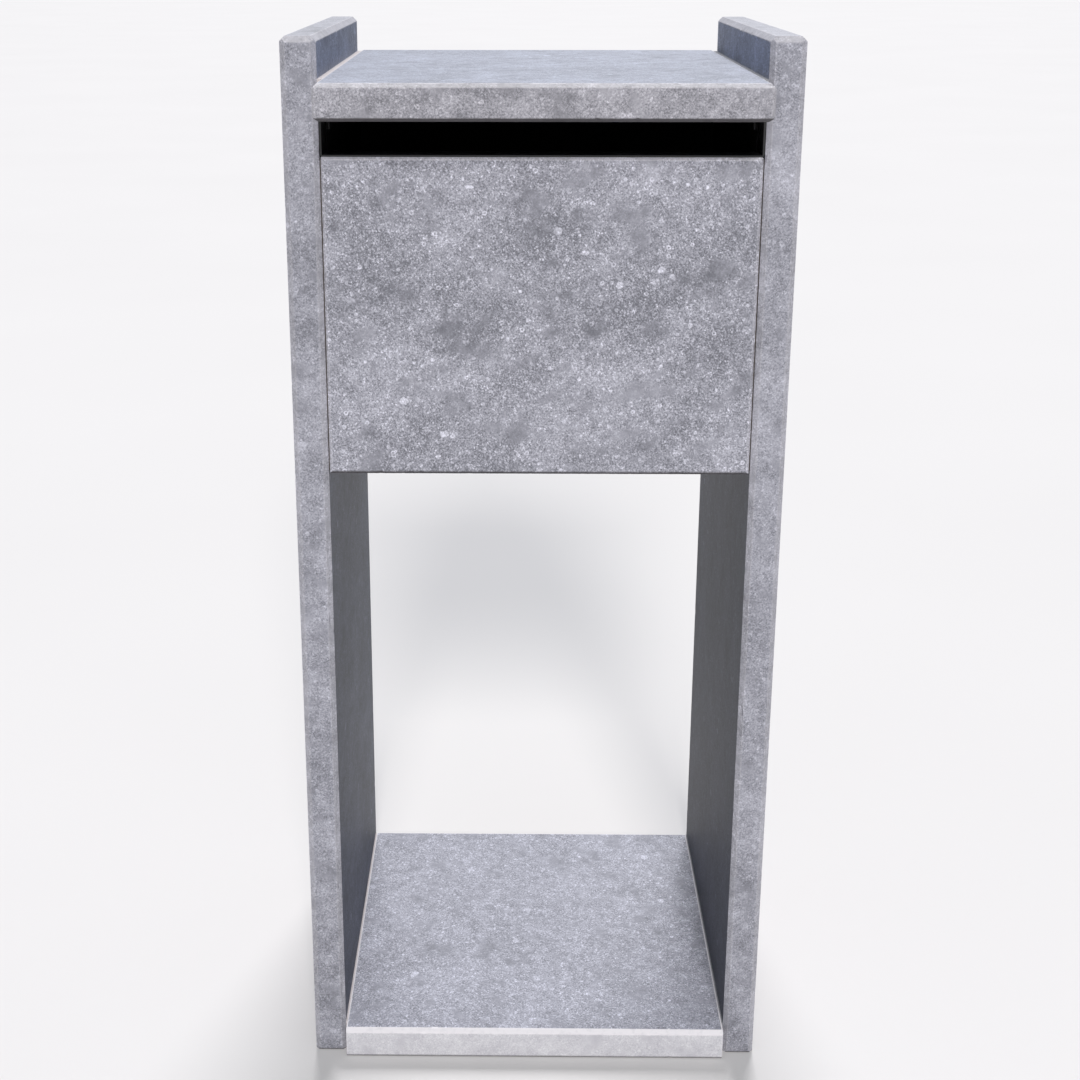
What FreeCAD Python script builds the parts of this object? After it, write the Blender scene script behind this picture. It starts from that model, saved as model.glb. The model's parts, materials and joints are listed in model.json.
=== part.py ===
"""Pedestal letterbox of natural-stone slabs with a sheet-steel letter compartment and a lockable rear door.

Millimetres. +Z is up and the front, where letters go in, faces -Y. The origin is on the ground, at the centre of
the rectangle on which the two side slabs stand.
"""
import FreeCAD, Part
import math
import os

# ---- stone slabs -------------------------------------------------------------------------------------------------
WIDTH = 430.0              # over the two side slabs
DEPTH = 400.0              # of a side slab, front to back
HEIGHT = 963.0             # of a side slab
SLAB = 30.0                # thickness of every slab
ARRIS = 4.0                # chamfer along the visible edges
PANEL_ARRIS = 2.0          # smaller one round the front panel
TOP_UNDERSIDE = 900.0      # height of the top slab's underside
TOP_OVERHANG = 60.0        # top slab ahead of the side slabs
TOP_JOINT = 2.0            # mortar joint at each end of the top slab
TOP_JOINT_BELOW = 1.0      # mortar below the top slab's surface
SIDE_JOINT = 1.0           # joint at each end of the front panel and of the base slab
PANEL_BOTTOM = 592.0
PANEL_TOP = 866.0
PANEL_RECESS = 2.0         # front panel behind the side slabs' front faces
PANEL_JOINT_RECESS = 4.0   # joint filler behind the front panel's face
BASE_PROUD = 10.0          # base slab ahead of the side slabs
BASE_SET_IN = 5.0          # base slab short of the side slabs' rear faces

# ---- dowels and ground anchors -----------------------------------------------------------------------------------
DOWEL_R = 4.0
DOWEL_HOLE_R = 4.25
DOWEL_IN_SIDE = 20.0       # depth of a dowel hole in a side slab
DOWEL_LENGTH = 50.0
TOP_DOWEL_Y = (-120.0, 120.0)
BASE_DOWEL_Y = (-130.0, 130.0)
PANEL_DOWEL_Z = (650.0, 810.0)
ANCHOR_R = 6.0
ANCHOR_DEPTH = 80.0
ANCHOR_Y = (-140.0, 140.0)

# ---- letter compartment ------------------------------------------------------------------------------------------
SHEET = 1.5                # sheet steel of the liner and the door
LINER_GAP = 2.0            # between the liner and the stone around it
LINER_REAR_SET_IN = 4.0    # liner and door short of the side slabs' rear faces
BEND_R = 2.5               # outer radius of a folded edge
SILL_BELOW_PANEL_TOP = 4.0
HEM = 8.0                  # folded edge along the top of the liner's front wall
ROOF_FLANGE = 12.0
SLEEVE_GAP = 0.5           # between the slot's sleeve and the stone beside and above it
SLEEVE_LAP = 16.0          # how far the sleeve's sides and top lap over the liner
SLEEVE_LIP = 14.0          # sleeve's edge folded down between the front panel and the liner
WEEP_R = 3.0
WEEP_X = (-100.0, 100.0)
WEEP_Y = 150.0
FRAME_SHEET = 2.0
FRAME_LIP = 20.0           # width of the door stop round the rear opening
FRAME_SET_IN = 24.0        # rear frame's face ahead of the side slabs' rear faces
TAB_WIDTH = 20.0           # hinge tab of the rear frame
DEFLECTOR_HALF_WIDTH = 150.0
DEFLECTOR_FLANGE = 14.0
DEFLECTOR_Y = 50.0
DEFLECTOR_DROP = 95.0
DEFLECTOR_SLOPE = 35.0     # how far the lower edge lies behind the upper one
RIVET_FROM_EDGE = 5.0      # rivets in from the flange's rear edge
RIVET_X = (-120.0, -40.0, 40.0, 120.0)
RIVET_R = 2.0
RIVET_HEAD_R = 4.0
RIVET_HEAD = 1.2
RIVET_TAIL_R = 3.0

# ---- supports under the liner ------------------------------------------------------------------------------------
ANGLE_LEG = 30.0
ANGLE_SHEET = 3.0
ANGLE_Y = (-90.0, 180.0)
PAD = 2.0                  # rubber pad between a support angle and the liner
ANGLE_SCREW_Y = (-60.0, 45.0, 150.0)
ANGLE_SCREW_DROP = 18.0    # screws below the top of the angle
SCREW_R = 2.5
SCREW_LENGTH = 22.0
SCREW_HEAD_R = 5.0
SCREW_HEAD = 3.0
PLUG_R = 4.0
PLUG_LENGTH = 22.0
BOLT_Y = (-50.0, 140.0)
BOLT_FROM_STONE = 17.0     # bolts in from the side slabs' inner faces
BOLT_R = 3.0
BOLT_LENGTH = 14.0
BOLT_HEAD_R = 5.5
BOLT_HEAD = 3.2
BOLT_NUT_FLATS = 10.0
BOLT_NUT = 5.0
CLEARANCE = 0.2            # radial clearance of a fastener in its hole

# ---- rear door ---------------------------------------------------------------------------------------------------
DOOR_GAP = 3.5             # at the door's sides
DOOR_END_GAP = 3.3         # above and below the door
DOOR_RETURN = 16.0         # depth of the folded edges
PIVOT_FROM_EDGE = 6.5      # pivot axis in from the door's hinge edge
PIVOT_FROM_FACE = 6.5      # pivot axis ahead of the door's outer face
PIVOT_R = 2.5
RUNNING = 0.05             # radial clearance of a turning fit
BUSH_R = 3.5
BUSH_FLANGE_R = 5.5
BUSH_FLANGE = 0.8
PIVOT_END_GAP = 0.2        # pivot end short of the sheet behind the tab
PIN_COLLAR_R = 3.5
PIN_COLLAR = 2.0
PIN_TAIL = 8.0             # bottom pin above its collar
PIVOT_NUT_FLATS = 8.0
PIVOT_NUT = 4.0
PIVOT_SCREW_HEAD_R = 4.25
PIVOT_SCREW_HEAD = 3.0
SEAL_WIDTH = 8.0
SEAL_FROM_LINER = 1.0
SEAL_DOOR_GAP = 0.3
SEAL_HINGE_END = 165.0     # where the seal strips stop beside the pivots

# ---- cam lock ----------------------------------------------------------------------------------------------------
LOCK_X = -145.0
LOCK_Z = 746.0
LOCK_R = 9.25
LOCK_FLAT = 8.0            # half width across the housing's two flats
LOCK_HEAD_R = 11.5
LOCK_HEAD = 2.5
LOCK_LENGTH = 24.0         # housing behind the door's outer face
LOCK_NUT_FLATS = 23.0
LOCK_NUT = 4.0
ROTOR_R = 6.5
ROTOR_HEAD_R = 7.5
ROTOR_HEAD = 1.5
ROTOR_INSET = 0.5          # rotor face below the housing's face
CAM_SHEET = 2.0
CAM_WIDTH = 14.0
CAM_REACH = 32.0           # from the lock's axis to the cam's tip
CAM_SQUARE = 7.0
CAM_SCREW_R = 2.0
CAM_SCREW_HEAD_R = 4.5
CAM_SCREW_HEAD = 2.2
CAM_SCREW_LENGTH = 8.0
KEY_SHEET = 2.0
KEY_BLADE = 7.4            # height of the blade
KEY_DEPTH = 18.0
KEY_SLACK = 0.2            # between the key and the keyway
KEY_NECK = 5.0
KEY_BOW_R = 10.0
KEY_RING_R = 3.0
KEY_NOTCHES = (4.0, 7.5, 11.0, 14.5)
KEY_NOTCH_DEPTHS = (1.6, 0.9, 1.9, 1.2)

# ---- levels and faces worked out from the values above -----------------------------------------------------------
FRONT = -DEPTH / 2
REAR = DEPTH / 2
OUTER = WIDTH / 2
INNER = OUTER - SLAB                                   # half the clear width between the side slabs
TOP_SURFACE = TOP_UNDERSIDE + SLAB
PANEL_FACE = FRONT + PANEL_RECESS
PANEL_BACK = PANEL_FACE + SLAB
PANEL_MIDDLE = (PANEL_FACE + PANEL_BACK) / 2
ANGLE_TOP = PANEL_BOTTOM
LINER_FLOOR = ANGLE_TOP + PAD                          # underside of the liner
LINER_TOP = TOP_UNDERSIDE - LINER_GAP
LINER_X = INNER - LINER_GAP
LINER_FRONT = PANEL_BACK + LINER_GAP
LINER_REAR = REAR - LINER_REAR_SET_IN
ROOM_X = LINER_X - SHEET                               # inner faces of the liner
ROOM_FLOOR = LINER_FLOOR + SHEET
ROOM_FRONT = LINER_FRONT + SHEET
ROOM_TOP = LINER_TOP - SHEET
SILL = PANEL_TOP - SILL_BELOW_PANEL_TOP
SLEEVE_FRONT = FRONT + ARRIS
SLEEVE_REAR = LINER_FRONT + SLEEVE_LAP
FRAME_FACE = REAR - FRAME_SET_IN
DOOR_FACE = LINER_REAR
DOOR_INNER = DOOR_FACE - DOOR_RETURN
DOOR_X = ROOM_X - DOOR_GAP
DOOR_BOTTOM = ROOM_FLOOR + DOOR_END_GAP
DOOR_TOP = ROOM_TOP - DOOR_END_GAP
PIVOT_X = DOOR_X - PIVOT_FROM_EDGE
PIVOT_Y = DOOR_FACE - PIVOT_FROM_FACE
LOCK_FACE = DOOR_FACE + LOCK_HEAD
LOCK_END = DOOR_FACE - LOCK_LENGTH
ROTOR_FACE = LOCK_FACE - ROTOR_INSET
BOLT_X = INNER - BOLT_FROM_STONE
SCREW_Z = ANGLE_TOP - ANGLE_SCREW_DROP
RIVET_Y = DEFLECTOR_Y + DEFLECTOR_FLANGE - RIVET_FROM_EDGE

X_AXIS = FreeCAD.Vector(1, 0, 0)
Y_AXIS = FreeCAD.Vector(0, 1, 0)
Z_AXIS = FreeCAD.Vector(0, 0, 1)


# ---- shape helpers -----------------------------------------------------------------------------------------------
def point(x, y, z):
    return FreeCAD.Vector(x, y, z)


def box(x_range, y_range, z_range):
    """A box between two x, two y and two z values, each given in any order."""
    lows = [min(span) for span in (x_range, y_range, z_range)]
    sizes = [max(span) - min(span) for span in (x_range, y_range, z_range)]
    return Part.makeBox(*sizes, point(*lows))


def rod(radius, start, axis, length):
    """A cylinder from start, along axis, of a length that may be negative."""
    direction = axis if length > 0 else axis * -1
    return Part.makeCylinder(radius, abs(length), start, direction)


def hexagon(flats, start, axis, length):
    """A hexagonal bar of the given width across its flats."""
    corner = flats / 2 / math.cos(math.pi / 6)
    turns = [math.pi / 3 * k for k in range(7)]
    outline = Part.makePolygon([point(corner * math.cos(a), corner * math.sin(a), 0) for a in turns])
    bar = Part.Face(outline).extrude(Z_AXIS * length)
    bar.Placement = FreeCAD.Placement(start, FreeCAD.Rotation(Z_AXIS, axis))
    return bar


def plate(corners, axis, thickness):
    """A flat plate: a closed outline of points, thickened along axis."""
    outline = Part.makePolygon(corners + corners[:1])
    return Part.Face(outline).extrude(axis * thickness)


def cut_all(shape, tools):
    for tool in tools:
        shape = shape.cut(tool)
    return shape


def mirrored(shape):
    """The same piece on the other side of the letterbox."""
    return shape.mirror(point(0, 0, 0), X_AXIS)


def pair(shape):
    """A piece and its mirror image as two separate solids."""
    return [shape, mirrored(shape)]


def edges_where(shape, test):
    """Edges whose bounding box passes the test."""
    return [edge for edge in shape.Edges if test(edge.BoundBox)]


def save(name, shapes):
    """Write one node: a solid, or several separate solids that belong together."""
    solids = [solid for shape in shapes for solid in shape.Solids]
    body = solids[0] if len(solids) == 1 else Part.makeCompound(solids)
    body.exportStep("parts/" + name + ".step")


# ---- stone slabs -------------------------------------------------------------------------------------------------
def dowel_line(x_end, y, z):
    """A dowel hole through a joint on the +X side: from x_end in the inner slab to its end in the side slab."""
    return rod(DOWEL_HOLE_R, point(x_end, y, z), X_AXIS, INNER + DOWEL_IN_SIDE - x_end)


def dowel_places():
    """Centre lines of the dowels, by group: lists of (y, z)."""
    return {
        "top_slab_dowels": [(y, TOP_UNDERSIDE + SLAB / 2) for y in TOP_DOWEL_Y],
        "base_slab_dowels": [(y, SLAB / 2) for y in BASE_DOWEL_Y],
        "front_panel_dowels": [(PANEL_MIDDLE, z) for z in PANEL_DOWEL_Z],
    }


def dowel_holes(places):
    """Holes on both sides for one group of dowels."""
    start = INNER + DOWEL_IN_SIDE - DOWEL_LENGTH
    return [hole for y, z in places for hole in pair(dowel_line(start, y, z))]


def side_slab():
    """The +X side slab, with its blind holes for dowels, wall plugs and ground anchors."""
    slab = box((INNER, OUTER), (FRONT, REAR), (0, HEIGHT))
    slab = slab.makeChamfer(ARRIS, edges_where(slab, lambda b: b.ZMax > SLAB))
    slab = cut_all(slab, [hole for places in dowel_places().values() for hole in dowel_holes(places)])
    middle = (INNER + OUTER) / 2
    slab = cut_all(slab, [rod(ANCHOR_R, point(middle, y, 0), Z_AXIS, ANCHOR_DEPTH) for y in ANCHOR_Y])
    return cut_all(slab, [rod(PLUG_R, point(INNER, y, SCREW_Z), X_AXIS, PLUG_LENGTH) for y in ANGLE_SCREW_Y])


def top_slab():
    half = INNER - TOP_JOINT
    slab = box((-half, half), (FRONT - TOP_OVERHANG, REAR), (TOP_UNDERSIDE, TOP_SURFACE))
    slab = slab.makeChamfer(ARRIS, slab.Edges)
    return cut_all(slab, dowel_holes(dowel_places()["top_slab_dowels"]))


def front_panel():
    half = INNER - SIDE_JOINT
    slab = box((-half, half), (PANEL_FACE, PANEL_BACK), (PANEL_BOTTOM, PANEL_TOP))
    slab = slab.makeChamfer(PANEL_ARRIS, edges_where(slab, lambda b: b.YMax < PANEL_MIDDLE))
    return cut_all(slab, dowel_holes(dowel_places()["front_panel_dowels"]))


def base_slab():
    half = INNER - SIDE_JOINT
    slab = box((-half, half), (FRONT - BASE_PROUD, REAR - BASE_SET_IN), (0, SLAB))
    slab = slab.makeChamfer(ARRIS, edges_where(slab, lambda b: b.ZMin > SLAB / 2 and b.XLength > SLAB))
    return cut_all(slab, dowel_holes(dowel_places()["base_slab_dowels"]))


def dowels(places):
    start = INNER + DOWEL_IN_SIDE - DOWEL_LENGTH
    return [piece for y, z in places for piece in pair(rod(DOWEL_R, point(start, y, z), X_AXIS, DOWEL_LENGTH))]


def joint(width, y_range, z_range, places):
    """Filled joints between a slab and the two side slabs, pierced by the dowels."""
    strip = box((INNER - width, INNER), y_range, z_range)
    return pair(cut_all(strip, dowel_holes(places)))


def top_joint(places):
    """Mortar beside the top slab, spreading into the groove that the slab's upper arris leaves."""
    edge = INNER - TOP_JOINT
    surface = TOP_SURFACE - TOP_JOINT_BELOW
    y = FRONT + ARRIS
    corners = [point(INNER, y, TOP_UNDERSIDE + ARRIS), point(edge, y, TOP_UNDERSIDE + ARRIS),
               point(edge, y, TOP_SURFACE - ARRIS), point(edge - ARRIS + TOP_JOINT_BELOW, y, surface),
               point(INNER, y, surface)]
    strip = plate(corners, Y_AXIS, DEPTH - 2 * ARRIS)
    return pair(cut_all(strip, dowel_holes(places)))


def stone():
    right = side_slab()
    groups = dowel_places()
    save("right_side_slab", [right])
    save("left_side_slab", [mirrored(right)])
    save("top_slab", [top_slab()])
    save("front_panel", [front_panel()])
    save("base_slab", [base_slab()])
    for name, places in groups.items():
        save(name, dowels(places))
    save("top_slab_joints", top_joint(groups["top_slab_dowels"]))
    panel_depth = (PANEL_FACE + PANEL_JOINT_RECESS, PANEL_BACK)
    panel_span = (PANEL_BOTTOM + PANEL_ARRIS, PANEL_TOP - PANEL_ARRIS)
    save("front_panel_joints", joint(SIDE_JOINT, panel_depth, panel_span, groups["front_panel_dowels"]))
    base_depth = (FRONT + ARRIS, REAR - BASE_SET_IN - ARRIS)
    save("base_slab_joints", joint(SIDE_JOINT, base_depth, (0, SLAB), groups["base_slab_dowels"]))


# ---- letter compartment ------------------------------------------------------------------------------------------
def folded_tray(x_half, y_range, z_range, radius):
    """A block whose bottom, front upright and front bottom edges are rounded like folded sheet."""
    block = box((-x_half, x_half), y_range, z_range)
    front = min(y_range)
    bottom = min(z_range)
    upright = edges_where(block, lambda b: b.ZLength > radius and b.YMax < front + radius)
    below = edges_where(block, lambda b: b.ZMax < bottom + radius and b.YMin < front + radius)
    return block.makeFillet(radius, upright + below)


def liner_bolt_holes():
    """Holes through the liner's floor, the pads and the support angles."""
    start = ANGLE_TOP - ANGLE_SHEET
    length = ROOM_FLOOR - start
    radius = BOLT_R + CLEARANCE
    return [rod(radius, point(x, y, start), Z_AXIS, length) for x in (-BOLT_X, BOLT_X) for y in BOLT_Y]


def liner_room():
    """The space inside the liner, running past its open top and rear."""
    past = SHEET
    return folded_tray(ROOM_X, (ROOM_FRONT, LINER_REAR + past), (ROOM_FLOOR, LINER_TOP + past), BEND_R - SHEET)


def liner_shell():
    """Floor, two sides and a low front wall, folded from one sheet, open above the sill and at the rear."""
    past = SHEET
    outer = folded_tray(LINER_X, (LINER_FRONT, LINER_REAR), (LINER_FLOOR, LINER_TOP), BEND_R)
    slot = box((-ROOM_X, ROOM_X), (LINER_FRONT - past, ROOM_FRONT + past), (SILL, LINER_TOP + past))
    hem = box((-ROOM_X, ROOM_X), (ROOM_FRONT, ROOM_FRONT + HEM), (SILL - SHEET, SILL))
    weeps = [rod(WEEP_R, point(x, WEEP_Y, LINER_FLOOR), Z_AXIS, SHEET) for x in WEEP_X]
    shell = outer.cut(liner_room()).cut(slot).fuse(hem).removeSplitter()
    return cut_all(shell, weeps + liner_bolt_holes())


def rivet_holes():
    start = ROOM_TOP - SHEET
    return [rod(RIVET_R + CLEARANCE / 2, point(x, RIVET_Y, start), Z_AXIS, 2 * SHEET) for x in RIVET_X]


def liner_roof():
    """Top sheet with a welded flange down each side."""
    sheet = box((-ROOM_X, ROOM_X), (ROOM_FRONT, LINER_REAR), (ROOM_TOP, LINER_TOP))
    flange_y = (ROOM_FRONT + HEM + BEND_R, FRAME_FACE - 2 * FRAME_SHEET)
    flange = box((ROOM_X - SHEET, ROOM_X), flange_y, (ROOM_TOP - ROOF_FLANGE, ROOM_TOP))
    for piece in pair(flange):
        sheet = sheet.fuse(piece)
    return cut_all(sheet.removeSplitter(), rivet_holes())


def slot_sleeve():
    """Sheet that lines the slot through the stone. Its sides and top lap over the liner, and a lip hangs in front
    of the liner."""
    half = INNER - SLEEVE_GAP
    top = TOP_UNDERSIDE - SLEEVE_GAP
    outer = box((-half, half), (SLEEVE_FRONT, SLEEVE_REAR), (PANEL_TOP, top))
    outer = outer.makeFillet(BEND_R, edges_where(outer, lambda b: b.YLength > BEND_R and b.XLength < BEND_R
                                                 and b.ZLength < BEND_R))
    inner = box((SHEET - half, half - SHEET), (SLEEVE_FRONT, SLEEVE_REAR), (PANEL_TOP + SHEET, top - SHEET))
    past_liner = box((-half, half), (LINER_FRONT, SLEEVE_REAR), (PANEL_TOP, PANEL_TOP + BEND_R))
    lip = box((-ROOM_X, ROOM_X), (LINER_FRONT - SHEET, LINER_FRONT), (PANEL_TOP - SLEEVE_LIP, PANEL_TOP + SHEET))
    return outer.cut(inner).cut(past_liner).fuse(lip).removeSplitter()


def hinge_tab(z_range):
    """A tab of the rear frame that carries a pivot bush."""
    tab = box((ROOM_X - TAB_WIDTH - SHEET, ROOM_X - SHEET), (FRAME_FACE, LINER_REAR), z_range)
    start = min(z_range)
    return tab.cut(rod(BUSH_R, point(PIVOT_X, PIVOT_Y, start), Z_AXIS, FRAME_SHEET))


def rear_frame():
    """Ring of sheet that stops the door and catches the lock's cam, with the two hinge tabs."""
    y_range = (FRAME_FACE - FRAME_SHEET, FRAME_FACE)
    ring = box((-ROOM_X, ROOM_X), y_range, (ROOM_FLOOR, ROOM_TOP))
    half = ROOM_X - FRAME_LIP
    ring = ring.cut(box((-half, half), y_range, (ROOM_FLOOR + FRAME_LIP, ROOM_TOP - FRAME_LIP)))
    for z_range in ((ROOM_FLOOR, ROOM_FLOOR + FRAME_SHEET), (ROOM_TOP - FRAME_SHEET, ROOM_TOP)):
        ring = ring.fuse(hinge_tab(z_range))
    return ring.removeSplitter().common(liner_room())


def letter_deflector():
    """Sloping sheet behind the slot that sends letters down and keeps hands and rain out."""
    top = ROOM_TOP
    corners = [
        point(-DEFLECTOR_HALF_WIDTH, DEFLECTOR_Y + DEFLECTOR_FLANGE, top),
        point(-DEFLECTOR_HALF_WIDTH, DEFLECTOR_Y, top),
        point(-DEFLECTOR_HALF_WIDTH, DEFLECTOR_Y + DEFLECTOR_SLOPE, top - DEFLECTOR_DROP),
        point(-DEFLECTOR_HALF_WIDTH, DEFLECTOR_Y + DEFLECTOR_SLOPE + SHEET, top - DEFLECTOR_DROP),
        point(-DEFLECTOR_HALF_WIDTH, DEFLECTOR_Y + 2 * SHEET, top - SHEET),
        point(-DEFLECTOR_HALF_WIDTH, DEFLECTOR_Y + DEFLECTOR_FLANGE, top - SHEET),
    ]
    return cut_all(plate(corners, X_AXIS, 2 * DEFLECTOR_HALF_WIDTH), rivet_holes())


def rivet(x):
    head_top = ROOM_TOP - SHEET
    head = rod(RIVET_HEAD_R, point(x, RIVET_Y, head_top), Z_AXIS, -RIVET_HEAD)
    shank = rod(RIVET_R, point(x, RIVET_Y, head_top), Z_AXIS, 2 * SHEET)
    tail = rod(RIVET_TAIL_R, point(x, RIVET_Y, LINER_TOP), Z_AXIS, RIVET_HEAD)
    return head.fuse(shank).fuse(tail)


def compartment():
    save("liner_shell", [liner_shell()])
    save("liner_roof", [liner_roof()])
    save("slot_sleeve", [slot_sleeve()])
    save("rear_frame", [rear_frame()])
    save("letter_deflector", [letter_deflector()])
    save("deflector_rivets", [rivet(x) for x in RIVET_X])


# ---- supports under the liner ------------------------------------------------------------------------------------
def support_angle():
    """The +X steel angle that carries the liner."""
    shelf = box((INNER - ANGLE_LEG, INNER), ANGLE_Y, (ANGLE_TOP - ANGLE_SHEET, ANGLE_TOP))
    leg = box((INNER - ANGLE_SHEET, INNER), ANGLE_Y, (ANGLE_TOP - ANGLE_LEG, ANGLE_TOP))
    holes = [rod(SCREW_R + CLEARANCE, point(INNER - ANGLE_SHEET, y, SCREW_Z), X_AXIS, ANGLE_SHEET)
             for y in ANGLE_SCREW_Y]
    return cut_all(shelf.fuse(leg).removeSplitter(), holes + liner_bolt_holes())


def support_pad():
    pad = box((INNER - ANGLE_LEG, LINER_X), ANGLE_Y, (ANGLE_TOP, LINER_FLOOR))
    return cut_all(pad, liner_bolt_holes())


def angle_screw(y):
    head_x = INNER - ANGLE_SHEET
    head = rod(SCREW_HEAD_R, point(head_x, y, SCREW_Z), X_AXIS, -SCREW_HEAD)
    crown = edges_where(head, lambda b: b.XMax < head_x - SCREW_HEAD / 2 and b.YLength > SCREW_HEAD_R)
    head = head.makeFillet(SCREW_HEAD / 2, crown)
    drive = rod(SCREW_HEAD_R / 3, point(head_x - SCREW_HEAD, y, SCREW_Z), X_AXIS, SCREW_HEAD / 2)
    shank = rod(SCREW_R, point(head_x, y, SCREW_Z), X_AXIS, SCREW_LENGTH)
    return head.cut(drive).fuse(shank)


def wall_plug(y):
    plug = rod(PLUG_R, point(INNER, y, SCREW_Z), X_AXIS, PLUG_LENGTH)
    return plug.cut(rod(SCREW_R, point(INNER, y, SCREW_Z), X_AXIS, SCREW_LENGTH - ANGLE_SHEET))


def liner_bolt(x, y):
    head = rod(BOLT_HEAD_R, point(x, y, ROOM_FLOOR), Z_AXIS, BOLT_HEAD)
    crown = edges_where(head, lambda b: b.ZMin > ROOM_FLOOR + BOLT_HEAD / 2)
    head = head.makeFillet(BOLT_HEAD / 2, crown)
    socket = hexagon(BOLT_R, point(x, y, ROOM_FLOOR + BOLT_HEAD / 2), Z_AXIS, BOLT_HEAD / 2)
    return head.cut(socket).fuse(rod(BOLT_R, point(x, y, ROOM_FLOOR), Z_AXIS, -BOLT_LENGTH))


def liner_nut(x, y):
    bottom = point(x, y, ANGLE_TOP - ANGLE_SHEET - BOLT_NUT)
    return hexagon(BOLT_NUT_FLATS, bottom, Z_AXIS, BOLT_NUT).cut(rod(BOLT_R, bottom, Z_AXIS, BOLT_NUT))


def supports():
    angle = support_angle()
    save("right_support_angle", [angle])
    save("left_support_angle", [mirrored(angle)])
    save("support_pads", pair(support_pad()))
    save("angle_screws", [piece for y in ANGLE_SCREW_Y for piece in pair(angle_screw(y))])
    save("wall_plugs", [piece for y in ANGLE_SCREW_Y for piece in pair(wall_plug(y))])
    save("liner_bolts", [piece for y in BOLT_Y for piece in pair(liner_bolt(BOLT_X, y))])
    save("liner_nuts", [piece for y in BOLT_Y for piece in pair(liner_nut(BOLT_X, y))])


# ---- rear door ---------------------------------------------------------------------------------------------------
def lock_profile(radius, half_flat, y, length):
    """A round bar along Y, centred on the lock, with two flats."""
    bar = rod(radius, point(LOCK_X, y, LOCK_Z), Y_AXIS, length)
    limit = box((LOCK_X - radius, LOCK_X + radius), (y, y + length), (LOCK_Z - half_flat, LOCK_Z + half_flat))
    return bar.common(limit)


def door_panel():
    """Shallow pan of folded sheet with holes for the lock and the pivots."""
    outer = box((-DOOR_X, DOOR_X), (DOOR_INNER, DOOR_FACE), (DOOR_BOTTOM, DOOR_TOP))
    outer = outer.makeFillet(BEND_R, edges_where(outer, lambda b: b.YMin > DOOR_INNER + BEND_R))
    inner = box((-DOOR_X + SHEET, DOOR_X - SHEET), (DOOR_INNER - SHEET, DOOR_FACE - SHEET),
                (DOOR_BOTTOM + SHEET, DOOR_TOP - SHEET))
    inner = inner.makeFillet(BEND_R - SHEET, edges_where(inner, lambda b: b.YMin > DOOR_INNER + BEND_R))
    pan = outer.cut(inner)
    lock_hole = lock_profile(LOCK_R, LOCK_FLAT, DOOR_FACE - 2 * SHEET, 3 * SHEET)
    pivots = [rod(PIVOT_R, point(PIVOT_X, PIVOT_Y, z), Z_AXIS, SHEET) for z in (DOOR_BOTTOM, DOOR_TOP - SHEET)]
    return cut_all(pan, [lock_hole] + pivots)


def bottom_pivot_pin():
    """Pin welded to the door's lower edge and turning in the lower bush."""
    start = ROOM_FLOOR + PIVOT_END_GAP
    on_return = DOOR_BOTTOM + SHEET
    shank = rod(PIVOT_R, point(PIVOT_X, PIVOT_Y, start), Z_AXIS, on_return + PIN_COLLAR + PIN_TAIL - start)
    collar = rod(PIN_COLLAR_R, point(PIVOT_X, PIVOT_Y, on_return), Z_AXIS, PIN_COLLAR)
    return shank.fuse(collar)


def top_pivot_screw():
    """Screw that turns in the upper bush and comes out to lift the door off."""
    head_top = DOOR_TOP - SHEET - PIVOT_NUT
    end = ROOM_TOP - PIVOT_END_GAP
    shank = rod(PIVOT_R, point(PIVOT_X, PIVOT_Y, head_top), Z_AXIS, end - head_top)
    head = hexagon(2 * PIVOT_SCREW_HEAD_R, point(PIVOT_X, PIVOT_Y, head_top - PIVOT_SCREW_HEAD), Z_AXIS,
                   PIVOT_SCREW_HEAD)
    return shank.fuse(head)


def pivot_nut():
    start = point(PIVOT_X, PIVOT_Y, DOOR_TOP - SHEET - PIVOT_NUT)
    return hexagon(PIVOT_NUT_FLATS, start, Z_AXIS, PIVOT_NUT).cut(rod(PIVOT_R, start, Z_AXIS, PIVOT_NUT))


def pivot_bush(outside, direction):
    """Flanged bush in a hinge tab: outside is the tab's face away from the door, direction points to the door."""
    start = point(PIVOT_X, PIVOT_Y, outside)
    length = FRAME_SHEET + BUSH_FLANGE
    barrel = rod(BUSH_R, start, Z_AXIS, direction * length)
    flange = rod(BUSH_FLANGE_R, point(PIVOT_X, PIVOT_Y, outside + direction * FRAME_SHEET), Z_AXIS,
                 direction * BUSH_FLANGE)
    return barrel.fuse(flange).cut(rod(PIVOT_R + RUNNING, start, Z_AXIS, direction * length))


def door_seal():
    """Foam strip on the frame's face along the lock side, the top and the bottom."""
    y_range = (FRAME_FACE, DOOR_INNER - SEAL_DOOR_GAP)
    side = -ROOM_X + SEAL_FROM_LINER
    low = ROOM_FLOOR + FRAME_SHEET + SEAL_FROM_LINER
    high = ROOM_TOP - FRAME_SHEET - SEAL_FROM_LINER
    upright = box((side, side + SEAL_WIDTH), y_range, (low, high))
    lower = box((side, SEAL_HINGE_END), y_range, (low, low + SEAL_WIDTH))
    upper = box((side, SEAL_HINGE_END), y_range, (high - SEAL_WIDTH, high))
    return upright.fuse(lower).fuse(upper).removeSplitter()


def door():
    save("door_panel", [door_panel()])
    save("door_seal", [door_seal()])
    save("bottom_pivot_pin", [bottom_pivot_pin()])
    save("top_pivot_screw", [top_pivot_screw()])
    save("pivot_nut", [pivot_nut()])
    save("pivot_bushes", [pivot_bush(ROOM_FLOOR, 1), pivot_bush(ROOM_TOP, -1)])


# ---- cam lock ----------------------------------------------------------------------------------------------------
def lock_axis(y):
    return point(LOCK_X, y, LOCK_Z)


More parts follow.
